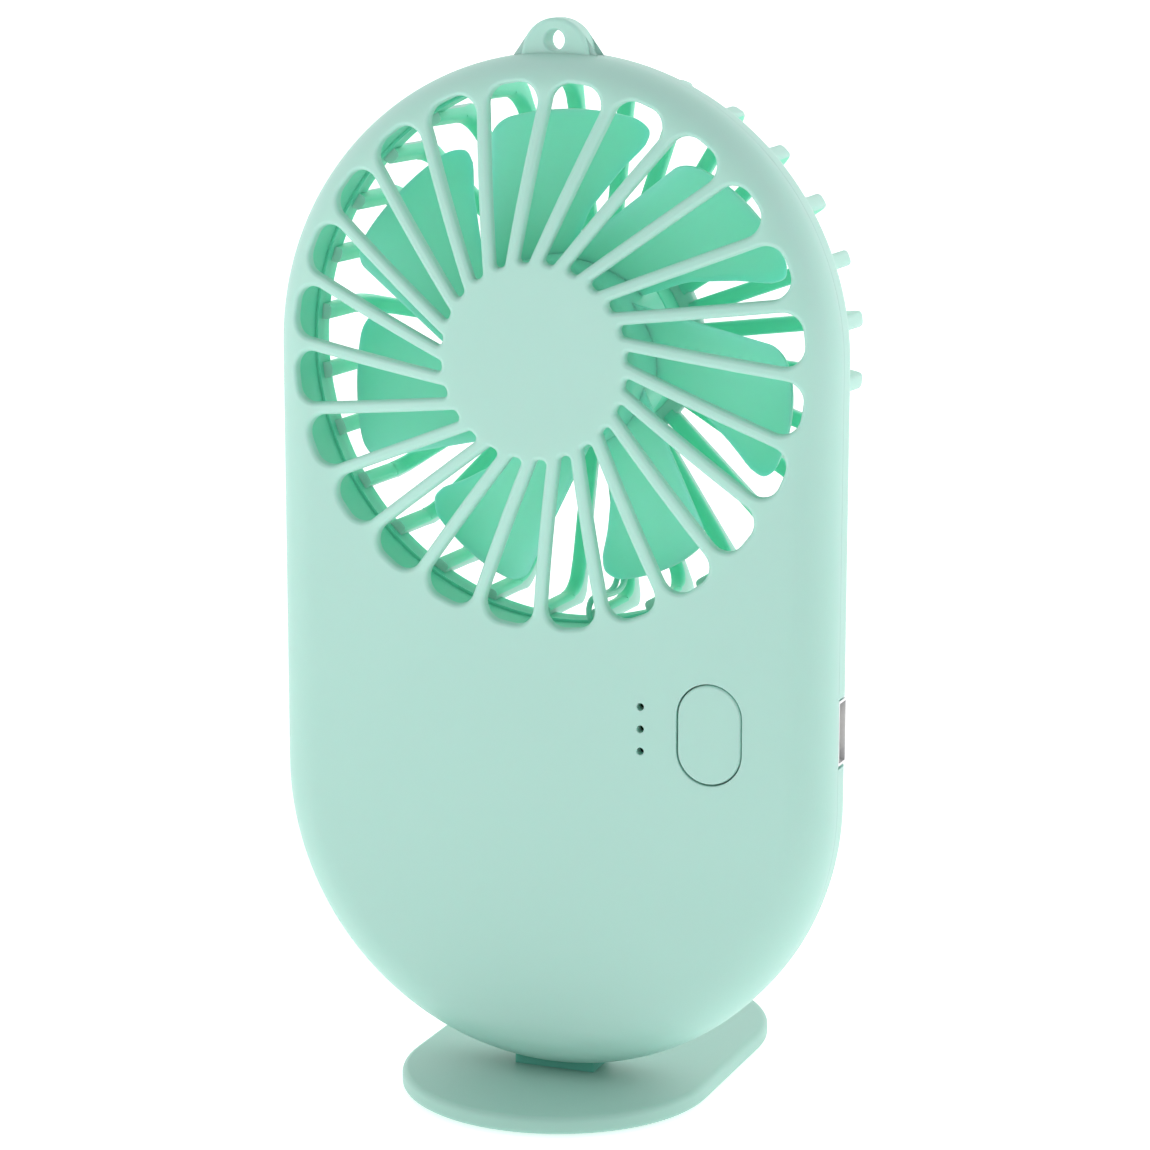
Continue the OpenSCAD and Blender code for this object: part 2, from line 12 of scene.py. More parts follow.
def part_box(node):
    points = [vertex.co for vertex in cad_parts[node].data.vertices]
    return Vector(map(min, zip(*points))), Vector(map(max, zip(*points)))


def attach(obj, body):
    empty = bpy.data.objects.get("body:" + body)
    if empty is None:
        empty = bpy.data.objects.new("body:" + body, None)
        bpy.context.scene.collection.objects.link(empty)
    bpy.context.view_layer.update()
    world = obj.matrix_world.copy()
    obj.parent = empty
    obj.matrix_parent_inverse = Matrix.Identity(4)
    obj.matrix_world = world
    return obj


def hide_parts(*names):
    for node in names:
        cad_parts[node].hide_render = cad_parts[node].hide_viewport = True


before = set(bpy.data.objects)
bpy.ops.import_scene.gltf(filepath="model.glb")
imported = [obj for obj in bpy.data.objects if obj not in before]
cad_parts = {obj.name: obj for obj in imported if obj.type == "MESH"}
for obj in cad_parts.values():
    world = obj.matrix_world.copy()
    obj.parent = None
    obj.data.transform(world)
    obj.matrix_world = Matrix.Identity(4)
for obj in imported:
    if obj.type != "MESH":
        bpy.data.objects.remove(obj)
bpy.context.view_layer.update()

MM = 0.001


def mm_box(node):
    low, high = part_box(node)
    return low / MM, high / MM


# ---------- Sizes from the imported model ---

front_low, front_high = mm_box("front_shell")
_, rear_high = mm_box("rear_shell")
_, guard_high = mm_box("rear_guard")
button_low, button_high = mm_box("power_button")
led_low, led_high = mm_box("status_leds")
foot_low, foot_high = mm_box("foot_plate")
pad_low, _ = mm_box("foot_pad")
pin_low, pin_high = mm_box("hinge_pin")
shaft_low, shaft_high = mm_box("motor_shaft")
usb_low, usb_high = mm_box("usb_port")
plunger_low, _ = mm_box("switch_plunger")

half_w = front_high.x
body_z = front_low.z
low_z = body_z + half_w
fan_z = (shaft_low.z + shaft_high.z) / 2
body_t = 10
mid_y = rear_high.y - body_t / 2

# ---------- Housing ----------

front_y = -body_t / 2
back_y = body_t / 2
front_round = 4.8
back_round = 3.2
wall = 1.4
part_y = 0.1
front_in = front_y + wall
back_in = back_y - wall
seam = 0.12                      # chamfer along the parting line
sunk = 0.02                      # keeps faces of two pieces from lying in one plane

hub_y = front_low.y - mid_y
hub_r = 10.9
dome_edge_r = 31
dome_edge_y = front_y + 0.6
dome_c = ((dome_edge_r**2 - hub_r**2) / (dome_edge_y - hub_y) + hub_y + dome_edge_y) / 2
dome_r = math.hypot(dome_edge_r, dome_c - dome_edge_y)
dome_fade_r = 29.5               # from here the dome sinks into the housing's rounded edge
dome_fade = 0.14
grille_t = 1.5
slot_count = 24
slot_r = 30.4
spoke_w = 1.4
spoke_sweep = 17
spoke_phase = 0.5
slot_corner_out = 2.2
slot_corner_in = 0.55
duct_r = 31
duct_t = 0.8
flange_t = 1.4

sheet_in = 2.2                   # the face's sheet starts this far in from the outline
inner_sheet_in = wall + 1.2
rear_sheet_in = 1.5
rear_inner_in = wall + 0.15

lug_w = 9.8
lug_r = 2.5
lug_gap = 0.35
pin_r = 1
hinge_drop = 4.4                 # from the pin's axis down to the foot plate
notch_w = lug_w / 2 + lug_gap
hinge_y = (pin_low.y + pin_high.y) / 2 - mid_y
hinge_z = (pin_low.z + pin_high.z) / 2
notch_y = hinge_y - lug_r - lug_gap
notch_top = hinge_z + lug_r + lug_gap
block_w = 17.6
block_top = body_z + 7.8


# ---------- Mesh building ----------

sharp_angle = 35                 # edges sharper than this are shaded as edges
trusted_angle = 50               # a given normal further than this from its face isn't used


class Shape:
    """One piece's points, faces and known normals."""

    def __init__(self):
        self.points = []
        self.normals = []
        self.faces = []
        self.tags = []
        self.tag = 0

    def add(self, face):
        """A face in the material that is current: 0 is the first, 1 the next one, which is a painted-shade
        copy of the plastic.
        """
        self.faces.append(face)
        self.tags.append(self.tag)

    def row(self, points, normals=None):
        """Adds points and gives their numbers."""
        start = len(self.points)
        self.points.extend([tuple(p) for p in points])
        if normals is None:
            normals = [(0, 0, 0)] * len(points)
        self.normals.extend([tuple(n) for n in normals])
        return list(range(start, len(self.points)))

    def strip(self, a, b, closed=True, shaded_faces=()):
        """Quads between two rows of the same length. Those whose numbers are listed take material 1, the
        painted-shade copy of the plastic.
        """
        n = len(a)
        for i in range(n if closed else n - 1):
            j = (i + 1) % n
            if shaded_faces:
                self.tag = int(i in shaded_faces)
            self.add((a[i], a[j], b[j], b[i]))

    def loft(self, rows, closed=True, caps=False, shaded_faces=()):
        for a, b in zip(rows, rows[1:]):
            self.strip(a, b, closed, shaded_faces)
        if caps:
            self.add(tuple(reversed(rows[0])))
            self.add(tuple(rows[-1]))

    def make(self, name, body, materials, stands_for, shift=(0, mid_y, 0)):
        """The Blender object: normals that agree with a face are kept, the others follow sharp_angle."""
        points = np.array(self.points, float) + shift
        mesh = bpy.data.meshes.new(name)
        mesh.from_pydata((points * MM).tolist(), [], self.faces)
        work = bmesh.new()
        work.from_mesh(mesh)
        bmesh.ops.recalc_face_normals(work, faces=work.faces)
        work.to_mesh(mesh)
        work.free()
        mesh.polygons.foreach_set("use_smooth", [True] * len(mesh.polygons))
        mesh.polygons.foreach_set("material_index", self.tags)
        mesh.set_sharp_from_angle(angle=math.radians(sharp_angle))
        known = np.array(self.normals, float)
        length = np.linalg.norm(known, axis=1)
        if length.max() > 0:
            corners = np.zeros(len(mesh.loops) * 3, np.float32)
            mesh.corner_normals.foreach_get("vector", corners)
            corners = corners.reshape(-1, 3)
            vertex = np.zeros(len(mesh.loops), np.int32)
            mesh.loops.foreach_get("vertex_index", vertex)
            face_normal = np.zeros(len(mesh.polygons) * 3, np.float32)
            mesh.polygons.foreach_get("normal", face_normal)
            face_normal = face_normal.reshape(-1, 3)
            sizes = np.zeros(len(mesh.polygons), np.int32)
            mesh.polygons.foreach_get("loop_total", sizes)
            by_face = np.repeat(face_normal, sizes, axis=0)
            given = known[vertex] / np.maximum(length[vertex], 1e-9)[:, None]
            agree = (given * by_face).sum(1) > math.cos(math.radians(trusted_angle))
            corners[agree] = given[agree]
            mesh.normals_split_custom_set(corners.tolist())
        piece = bpy.data.objects.new(name, mesh)
        bpy.context.scene.collection.objects.link(piece)
        for material in materials:
            piece.data.materials.append(material)
        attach(piece, body)
        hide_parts(*stands_for)


def arc(centre, radius, start, stop, steps):
    """Points of an arc, angles in degrees, both ends included."""
    angles = np.radians(np.linspace(start, stop, steps + 1))
    return np.stack([centre[0] + radius * np.cos(angles), centre[1] + radius * np.sin(angles)], 1)


def line(a, b, spacing):
    """Points between a and b, without the ends."""
    a, b = np.array(a, float), np.array(b, float)
    n = max(1, int(np.linalg.norm(b - a) / spacing))
    return a + (b - a) * (np.arange(1, n) / n)[:, None]


def offset(loop, distance):
    """The closed loop, counter-clockwise, moved outward."""
    tangent = np.roll(loop, -1, 0) - np.roll(loop, 1, 0)
    tangent /= np.linalg.norm(tangent, axis=1)[:, None]
    outward = np.stack([tangent[:, 1], -tangent[:, 0]], 1)
    return loop + distance * outward, outward


def inside(points, loop):
    """Which points lie inside the closed loop."""
    x, z = points[:, 0][:, None], points[:, 1][:, None]
    a, b = loop, np.roll(loop, -1, 0)
    crosses = (a[:, 1] > z) != (b[:, 1] > z)
    rise = np.where(b[:, 1] == a[:, 1], 1e-12, b[:, 1] - a[:, 1])
    at = a[:, 0] + (z - a[:, 1]) * (b[:, 0] - a[:, 0]) / rise
    return (crosses & (x < at)).sum(1) % 2 == 1


def scatter(loops, spacing, clear):
    """A triangular grid of points inside the first loop and clear of every loop."""
    low, high = loops[0].min(0), loops[0].max(0)
    rows = np.arange(low[1], high[1], spacing * 0.866)
    grid = np.array([
        (x + (spacing / 2 if k % 2 else 0), z)
        for k, z in enumerate(rows) for x in np.arange(low[0], high[0], spacing)
    ])
    keep = inside(grid, loops[0])
    for hole in loops[1:]:
        keep &= ~inside(grid, hole)
    grid = grid[keep]
    edge = np.concatenate(loops)
    far = np.array([np.min(np.hypot(*(edge - p).T)) > clear for p in grid], bool)
    return grid[far]


def slope_normals(points, height, facing):
    """Unit normals of the surface y = height(x, z), pointing to -Y where facing is -1."""
    step = 1e-3
    x, z = points[:, 0], points[:, 1]
    dx = (height(x + step, z) - height(x - step, z)) / (2 * step)
    dz = (height(x, z + step) - height(x, z - step)) / (2 * step)
    n = np.stack([-dx, np.ones_like(dx), -dz], 1) * facing
    return n / np.linalg.norm(n, axis=1)[:, None]


def face(shape, loops, radii, height, facing, extra, steps=4, drop=None, first_row=None):
    """One face of a plate with rounded edges. loops[0] is its outline and the rest are holes. Gives the
    numbers of each loop's points where the rounding meets the wall. first_row holds the outline's points
    where the shape has them already."""
    flat, normals, heights, edges, rims = [], [], [], [], []
    count = 0
    hole_of = []
    for i, (loop, radius) in enumerate(zip(loops, radii)):
        sign = -1 if i == 0 else 1
        row_steps = steps if radius > 0 else 0
        for k in range(row_steps + 1):
            turn = math.pi / 2 * (k / row_steps if row_steps else 1)
            moved, outward = offset(loop, sign * radius * (1 - math.cos(turn)))
            top = slope_normals(moved, height, facing)
            side = np.stack([outward[:, 0], np.zeros(len(loop)), outward[:, 1]], 1) * -sign
            flat.append(moved)
            heights.append(height(moved[:, 0], moved[:, 1]) - facing * radius * (1 - math.sin(turn)))
            normals.append(side * math.cos(turn) + top * math.sin(turn))
            n = len(loop)
            edges += [(count + j, count + (j + 1) % n) for j in range(n)]
            hole_of += [i if k == 0 else -1] * n
            if k == 0:
                rims.append((count, n))
            count += n
    if len(extra):
        flat.append(extra)
        heights.append(height(extra[:, 0], extra[:, 1]))
        normals.append(slope_normals(extra, height, facing))
        hole_of += [-1] * len(extra)
    flat, heights, normals = np.concatenate(flat), np.concatenate(heights), np.concatenate(normals)
    coords, _, triangles, origin, _, _ = delaunay_2d_cdt(
        [Vector(p) for p in flat], edges, [], 0, 1e-7)
    assert len(coords) == len(flat), "the loops of a face cross"
    number = [o[0] for o in origin]
    points = np.stack([flat[:, 0], heights, flat[:, 1]], 1)
    if first_row is None:
        made = shape.row(points, normals)
    else:
        made = first_row + shape.row(points[len(first_row):], normals[len(first_row):])
    triangles = np.array([[number[v] for v in t] for t in triangles])
    middles = flat[triangles].mean(1)
    hole_of = np.array(hole_of)
    marks = hole_of[triangles]
    one_hole = (marks[:, 0] == marks[:, 1]) & (marks[:, 1] == marks[:, 2]) & (marks[:, 0] > 0)
    keep = np.ones(len(triangles), bool)
    for i in range(1, len(loops)):
        suspects = np.nonzero(one_hole & (marks[:, 0] == i))[0]
        if len(suspects):
            keep[suspects] = ~inside(middles[suspects], loops[i])
    if drop is not None:
        keep &= ~drop(middles)
    for t in triangles[keep]:
        shape.add(tuple(made[v] for v in t))
    return [made[start:start + n] for start, n in rims]


def revolve(shape, profile, segments=128, centre=(0, None), closed=False):
    """Turns a profile of (radius, depth) points about an axis along Y. A closed profile makes a ring."""
    cx = centre[0]
    cz = fan_z if centre[1] is None else centre[1]
    rows = []
    for radius, depth in profile:
        rows.append(shape.row([
            (cx + radius * math.cos(a), depth, cz + radius * math.sin(a))
            for a in np.linspace(0, 2 * math.pi, segments, endpoint=False)
        ]))
    shape.loft(rows)
    if closed:
        shape.strip(rows[-1], rows[0])
    else:
        shape.add(tuple(rows[0]))
        shape.add(tuple(rows[-1]))


def rounded(corners, radii, steps=5):
    """A closed profile whose corners are rounded by the given radii."""
    out = []
    n = len(corners)
    for i, (corner, radius) in enumerate(zip(corners, radii)):
        p = np.array(corner, float)
        a = np.array(corners[i - 1], float) - p
        b = np.array(corners[(i + 1) % n], float) - p
        if radius <= 0:
            out.append(p)
            continue
        a, b = a / np.linalg.norm(a), b / np.linalg.norm(b)
        half = math.acos(max(-1, min(1, float(a @ b)))) / 2
        reach = radius / math.tan(half)
        middle = p + (a + b) / np.linalg.norm(a + b) * radius / math.sin(half)
        start, stop = p + a * reach - middle, p + b * reach - middle
        total = math.acos(max(-1, min(1, float(start @ stop) / radius**2)))
        for k in range(steps + 1):
            t = k / steps
            mix = (start * math.sin((1 - t) * total) + stop * math.sin(t * total)) / math.sin(total)
            out.append(middle + mix)
    return [tuple(p) for p in out]


# ---------- Outlines, seen from the front ----------

def stadium(width, height, centre, steps=24):
    r = width / 2
    dz = (height - width) / 2
    x, z = centre
    top = arc((x, z + dz), r, 0, 180, steps)
    bottom = arc((x, z - dz), r, 180, 360, steps)
    sides = [line(top[-1], bottom[0], 1.5), line(bottom[-1], top[0], 1.5)]
    return np.concatenate([top, sides[0], bottom, sides[1]])


def spoke_line(i):
    """A point, a direction and the left-hand normal of the middle line of spoke i."""
    a = math.radians(spoke_phase + i * 360 / slot_count)
    b = a - math.radians(spoke_sweep)
    start = (hub_r - 1) * np.array([math.cos(a), math.sin(a)])
    stop = (slot_r + 1) * np.array([math.cos(b), math.sin(b)])
    along = (stop - start) / np.linalg.norm(stop - start)
    return start, along, np.array([-along[1], along[0]])


def corner_centre(spoke, side, radius, reach, outer):
    """Centre of the rounding between a spoke's edge and a circle about the fan axis."""
    start, along, left = spoke
    base = start + left * side * (spoke_w / 2 + radius)
    b = float(base @ along)
    root = math.sqrt(b * b - float(base @ base) + reach**2)
    return base + along * (-b + root if outer else max(-b - root, -b + root))


def bearing(v):
    return math.degrees(math.atan2(v[1], v[0]))


def turn_to(start, stop, ccw):
    """stop, moved by whole turns so that going from start is in the wanted sense."""
    while ccw and stop < start:
        stop += 360
    while not ccw and stop > start:
        stop -= 360
    return stop


def slot_outline(i):
    """The opening between spoke i and the next one, counter-clockwise."""
    here, there = spoke_line(i), spoke_line(i + 1)
    r_out, r_in = slot_corner_out, slot_corner_in
    c1 = corner_centre(here, 1, r_in, hub_r + r_in, False)
    c2 = corner_centre(here, 1, r_out, slot_r - r_out, True)
    c3 = corner_centre(there, -1, r_out, slot_r - r_out, True)
    c4 = corner_centre(there, -1, r_in, hub_r + r_in, False)
    on_here = bearing(-here[2])
    on_there = bearing(there[2])
    parts = []
    start = bearing(-c1)
    parts.append(arc(c1, r_in, start, turn_to(start, on_here, True), 5))
    a = parts[-1][-1]
    b = c2 - here[2] * r_out
    parts.append(line(a, b, 0.9))
    stop = turn_to(on_here, bearing(c2), True)
    parts.append(arc(c2, r_out, on_here, stop, 8))
    rim0, rim1 = bearing(c2), turn_to(bearing(c2), bearing(c3), True)
    parts.append(arc((0, 0), slot_r, rim0, rim1, max(2, int((rim1 - rim0) / 1.5)))[1:-1])
    start = bearing(c3)
    parts.append(arc(c3, r_out, start, turn_to(start, on_there, True), 8))
    parts.append(line(c3 + there[2] * r_out, c4 + there[2] * r_in, 0.9))
    stop = turn_to(on_there, bearing(-c4), True)
    parts.append(arc(c4, r_in, on_there, stop, 5))
    hub0, hub1 = bearing(c4), turn_to(bearing(c4), bearing(c1), False)
    parts.append(arc((0, 0), hub_r, hub0, hub1, 4)[1:-1])
    return np.concatenate(parts) + (0, fan_z)


# ---------- Heights of the housing's faces ----------

def edge_in(x, z):
    """How far in from the housing's outline a point lies."""
    return half_w - np.hypot(x, z - np.clip(z, low_z, fan_z))


def smooth_min(a, b, k):
    h = np.clip(0.5 + 0.5 * (b - a) / k, 0, 1)
    return b + (a - b) * h - k * h * (1 - h)


def bowl(x, z, base, radius, inset):
    t = np.clip(radius + inset - edge_in(x, z), 0, radius)
    return base + radius - np.sqrt(radius**2 - t**2)


def front_height(x, z):
    shell = bowl(x, z, front_y, front_round, 0)
    r = np.minimum(np.hypot(x, z - fan_z), dome_edge_r + 2)
    dome = dome_c - np.sqrt(dome_r**2 - r**2) + dome_fade * np.maximum(r - dome_fade_r, 0)**2
    dome = -smooth_min(-dome, np.full_like(dome, -hub_y), 0.12)
    return smooth_min(shell, dome, 0.25)


def front_inner_height(x, z):
    shell = bowl(x, z, front_in, front_round - wall, wall)
    r = np.minimum(np.hypot(x, z - fan_z), dome_edge_r)
    dome = np.maximum(dome_c - np.sqrt((dome_r - grille_t)**2 - r**2), hub_y + grille_t)
    return np.minimum(shell, dome)


def rear_height(x, z):
    t = np.clip(back_round - edge_in(x, z), 0, back_round)
    return back_y - back_round + np.sqrt(back_round**2 - t**2)


def level(depth):
    return lambda x, z: np.full_like(x, depth)


# ---------- The housing's rim ----------

notch_angle = math.degrees(math.acos(notch_w / half_w))


def rim_columns(extra_right=()):
    """(height of the spine, angle) of each column round the outline, counter-clockwise."""
    nick = 0.03
    edges = [180 + notch_angle - nick, 180 + notch_angle, 360 - notch_angle, 360 - notch_angle + nick]
    lower = sorted(list(np.linspace(180, 360, 97)) + edges)
    columns = [(fan_z, a) for a in np.linspace(0, 180, 97)]
    columns += [(z, 180) for z in np.linspace(fan_z, low_z, 12)[1:-1]]
    columns += [(low_z, a) for a in lower]
    right = sorted(set(list(np.linspace(low_z, fan_z, 12)[1:-1]) + list(extra_right)))
    columns += [(z, 0) for z in right]
    return columns


def in_notch(column):
    z, a = column
    return z == low_z and 180 + notch_angle - 1e-6 <= a <= 360 - notch_angle + 1e-6


def at_column(column, s, y):
    z, a = column
    a = math.radians(a)
    return ((half_w - s) * math.cos(a), y, z + (half_w - s) * math.sin(a))


def tilted(column, turn, facing):
    """Normal on the rounded edge: turn is 0 on the side and 90 on the face."""
    a = math.radians(column[1])
    t = math.radians(turn)
    return (math.cos(t) * math.cos(a), facing * math.sin(t), math.cos(t) * math.sin(a))


def column_loop(columns, s):
    return np.array([(p[0], p[2]) for p in (at_column(c, s, 0) for c in columns)])


# ---------- Materials ----------

def node_tree(name):
    material = bpy.data.materials.new(name)
    material.use_nodes = True
    tree = material.node_tree
    return material, tree, tree.nodes["Principled BSDF"]


def add_node(tree, kind, **values):
    """A new node with some of its inputs set. An underscore stands for a space in an input's name."""
    node = tree.nodes.new("ShaderNode" + kind)
    for name, value in values.items():
        node.inputs[name.replace("_", " ")].default_value = value
    return node


def join(tree, *pairs):
    """Links an output to an input for each pair."""
    for start, stop in pairs:
        tree.links.new(start, stop)


def plastic(name, colour, roughness, grain=900, bump=0.05, scatter=0.0):
    """Moulded plastic: a fine spark texture, a slow drift of tone, and a faint change of gloss."""
    material, tree, shader = node_tree(name)
    place = add_node(tree, "TexCoord")
    drift = add_node(tree, "TexNoise", Scale=28, Detail=3)
    tone = add_node(tree, "MapRange", To_Min=0.975, To_Max=1.025)
    tint = add_node(tree, "Mix")
    tint.data_type = "RGBA"
    tint.blend_type = "MULTIPLY"
    tint.inputs["Factor"].default_value = 1
    tint.inputs["A"].default_value = (*colour, 1)
    spark = add_node(tree, "TexNoise", Scale=grain * 4, Detail=2)
    gloss = add_node(tree, "MapRange", To_Min=roughness - 0.05, To_Max=roughness + 0.05)
    dent = add_node(tree, "Bump", Strength=bump, Distance=0.0001)
    join(tree, (place.outputs["Object"], drift.inputs["Vector"]),
         (place.outputs["Object"], spark.inputs["Vector"]),
         (drift.outputs["Fac"], tone.inputs["Value"]),
         (tone.outputs["Result"], tint.inputs["B"]),
         (tint.outputs["Result"], shader.inputs["Base Color"]),
         (spark.outputs["Fac"], gloss.inputs["Value"]),
         (gloss.outputs["Result"], shader.inputs["Roughness"]),
         (spark.outputs["Fac"], dent.inputs["Height"]),
         (dent.outputs["Normal"], shader.inputs["Normal"]))
    shader.inputs["IOR"].default_value = 1.5
    if scatter:
        shader.inputs["Subsurface Weight"].default_value = scatter
        shader.inputs["Subsurface Radius"].default_value = (0.4, 1.0, 0.8)
        shader.inputs["Subsurface Scale"].default_value = 0.002
    return material


def metal(name, colour, roughness, grain=(400, 400, 400)):
    """Metal with a fine, stretched variation of its gloss and tone."""
    material, tree, shader = node_tree(name)
    place = add_node(tree, "TexCoord")
    stretch = add_node(tree, "Mapping", Scale=grain)
    noise = add_node(tree, "TexNoise", Scale=6, Detail=4)
    gloss = add_node(tree, "MapRange", To_Min=roughness - 0.08, To_Max=roughness + 0.1)
    ramp = add_node(tree, "ValToRGB")
    darker = 0.82
    ramp.color_ramp.elements[0].color = (*[c * darker for c in colour], 1)
    ramp.color_ramp.elements[1].color = (*colour, 1)
    dent = add_node(tree, "Bump", Strength=0.08, Distance=0.0001)
    join(tree, (place.outputs["Object"], stretch.inputs["Vector"]),
         (stretch.outputs["Vector"], noise.inputs["Vector"]),
         (noise.outputs["Fac"], gloss.inputs["Value"]),
         (noise.outputs["Fac"], ramp.inputs["Fac"]),
         (ramp.outputs["Color"], shader.inputs["Base Color"]),
         (gloss.outputs["Result"], shader.inputs["Roughness"]),
         (noise.outputs["Fac"], dent.inputs["Height"]),
         (dent.outputs["Normal"], shader.inputs["Normal"]))
    shader.inputs["Metallic"].default_value = 1
    return material


housing_plastic = plastic("housing_plastic", (0.43, 0.70, 0.62), 0.5, scatter=0.3)
# Inside faces take a deeper, more saturated copy of the housing plastic: painted shade, standing in for
# light that reaches them only through the plastic and off other walls
shaded_plastic = plastic("housing_plastic_painted_shade", (0.20, 0.78, 0.55), 0.5, scatter=0.4)
shell_plastics = [housing_plastic, shaded_plastic]
foot_plastic = plastic("foot_plastic", (0.35, 0.58, 0.51), 0.5, scatter=0.3)
# A dark copy of the foot's plastic for the hinge's lug: painted shade
lug_shade_plastic = plastic("foot_lug_painted_shade", (0.08, 0.38, 0.29), 0.5, scatter=0.2)
impeller_plastic = plastic("impeller_plastic", (0.28, 0.79, 0.62), 0.42, scatter=0.5)


# ---------- Front shell ----------

gap = 0.15                       # clearance round the button
led_r = 0.43                     # radius of an indicator's hole
led_half = 0.4                   # half of the height of an indicator
boss_r = 2.2
boss_bore = 0.75
led_x = (led_low.x + led_high.x) / 2
led_z = [led_low.z + led_half, (led_low.z + led_high.z) / 2, led_high.z - led_half]
button_at = ((button_low.x + button_high.x) / 2, (button_low.z + button_high.z) / 2)
button_w = 7.4
button_h = 11.3
screw_places = [(-28.6, 51.5), (28.6, 51.5), (-17.5, 9.5), (17.5, 9.5)]


def rounding(inset, base, radius, turns, facing):
    """Stages of a rounded edge: inset from the outline, depth, and the normal's turn."""
    out = []
    for turn in turns:
        t = math.radians(turn)
        out.append((inset + radius * (1 - math.cos(t)), base - facing * radius * (1 - math.sin(t)), turn))
    return out


def turn_at(reach, radius):
    """Turn at which a rounded edge of that radius has come in by reach."""
    return math.degrees(math.acos(1 - reach / radius))


def rim(shape, columns, profiles, facing, skip=None):
    """Lofts the columns' profiles and gives the rows."""
    rows = []
    for k in range(len(profiles[0])):
        points = [at_column(c, p[k][0], p[k][1]) for c, p in zip(columns, profiles)]
        normals = [
            (0, 0, 0) if p[k][2] is None else tilted(c, p[k][2], facing) for c, p in zip(columns, profiles)
        ]
        rows.append(shape.row(points, normals))
    n = len(columns)
    for k, (a, b) in enumerate(zip(rows, rows[1:])):
        for i in range(n):
            j = (i + 1) % n
            if skip is None or not skip(i, k):
                shape.add((a[i], a[j], b[j], b[i]))
    return rows


def front_shell():
    shape = Shape()
    columns = rim_columns()
    outer = rounding(0, front_y, front_round, np.linspace(turn_at(sheet_in, front_round), 0, 12), -1)
    inner_round = front_round - wall
    inner_turns = np.linspace(0, turn_at(inner_sheet_in - wall, inner_round), 6)
    inner = [(s, y, None) for s, y, _ in rounding(wall, front_in, inner_round, inner_turns, -1)]
    edge = [(0, part_y - seam, 0), (seam, part_y, None), (wall, part_y, None)]
    plain = outer + edge + inner
    # Where the foot's lug passes, the edge stops at the notch and turns straight in
    kept = [p for p in outer if p[1] < notch_y]
    stop_turn = math.degrees(math.asin(1 - (notch_y - front_y) / front_round))
    stop_s = front_round * (1 - math.cos(math.radians(stop_turn)))
    spare = len(plain) - len(kept) - 1
    cut = kept + [
        (stop_s + (inner_sheet_in - stop_s) * k / (spare - 1), notch_y, None) for k in range(spare)
    ] + plain[-1:]
    rows = rim(shape, columns, [cut if in_notch(c) else plain for c in columns], -1)

    slots = [slot_outline(i) for i in range(slot_count)]
    button = stadium(button_w + 2 * gap, button_h + 2 * gap, button_at)
    leds = [arc((led_x, z), led_r, 0, 360, 20)[:-1] for z in led_z]
    holes = slots + [button] + leds
    outline = column_loop(columns, sheet_in)
    round_front = [0] + [0.55] * slot_count + [0.12] + [0.1] * len(leds)
    wide = [outline] + holes
    front_rims = face(shape, wide, round_front, front_height, -1, scatter(wide, 1.9, 1.1),
                      first_row=rows[0])
    inner_outline = column_loop(columns, inner_sheet_in)
    round_back = [0] + [0.3] * slot_count + [0] + [0] * len(leds)
    back = [inner_outline] + holes
    # The face's inside takes material 1, the painted-shade copy of the plastic
    shape.tag = 1
    back_rims = face(shape, back, round_back, front_inner_height, 1, scatter(back, 3, 1.1),
                     steps=2, first_row=rows[-1])
    shape.tag = 0
    for a, b in zip(front_rims[1:], back_rims[1:]):
        shape.strip(a, b)
    # The duct, the bosses and the cheeks take the painted-shade copy too
    shape.tag = 1
    # The wall round the impeller
    duct(shape, back_in - flange_t - 0.1)
    boss_y = front_in + 0.7
    for x, z in screw_places:
        revolve(shape, [(boss_r, boss_y), (boss_r, part_y - sunk), (boss_bore, part_y - sunk),
                        (boss_bore, boss_y)], 32, (x, body_z + z), closed=True)
    hinge_cheeks(shape, notch_y - 1, part_y - 0.05)
    shape.make("front_cover", "housing", shell_plastics, ["front_shell"])


def bar(shape, profile, x0, x1):
    """A profile of (depth, height) points drawn out along X."""
    ends = [shape.row([(x, y, z) for y, z in profile]) for x in (x0, x1)]
    shape.loft(ends, caps=True)


def duct(shape, top):
    """The wall round the impeller. Its front edge is sunk into the inside of the face."""
    angles = np.radians(np.linspace(0, 360, 144, endpoint=False))
    rows = []
    outer_r = duct_r + duct_t
    buried = 0.25
    for radius, at_top in ((outer_r, False), (outer_r, True), (duct_r, True), (duct_r, False)):
        x, z = radius * np.cos(angles), fan_z + radius * np.sin(angles)
        depth = np.full_like(x, top) if at_top else front_inner_height(x, z) - buried
        rows.append(shape.row(np.stack([x, depth, z], 1)))
    shape.loft(rows + rows[:1])


def hinge_cheeks(shape, y0, y1):
    """The solid blocks beside the foot's lug, and the bridge over it."""
    buried = 1.1
    middle = (notch_w + block_w / 2) / 2
    for side in (-1, 1):
        for a, b in ((notch_w, middle), (middle, block_w / 2)):
            low = low_z - math.sqrt((half_w - buried)**2 - b * b)
            bar(shape, [(y0, low), (y1, low), (y1, block_top), (y0, block_top)],
                min(side * a, side * b), max(side * a, side * b))
    bar(shape, [(y0, notch_top), (y1, notch_top), (y1, block_top), (y0, block_top)], -notch_w, notch_w)


# ---------- Rear shell ----------

guard_hole_r = guard_high.x - 0.3
screw_hole_r = 1.7
seat_y = 3.5                     # depth at which a screw's head sits
rear_boss_r = 2.3
rear_boss_bore = 0.95
usb_gap = 0.3
near = 1e-6


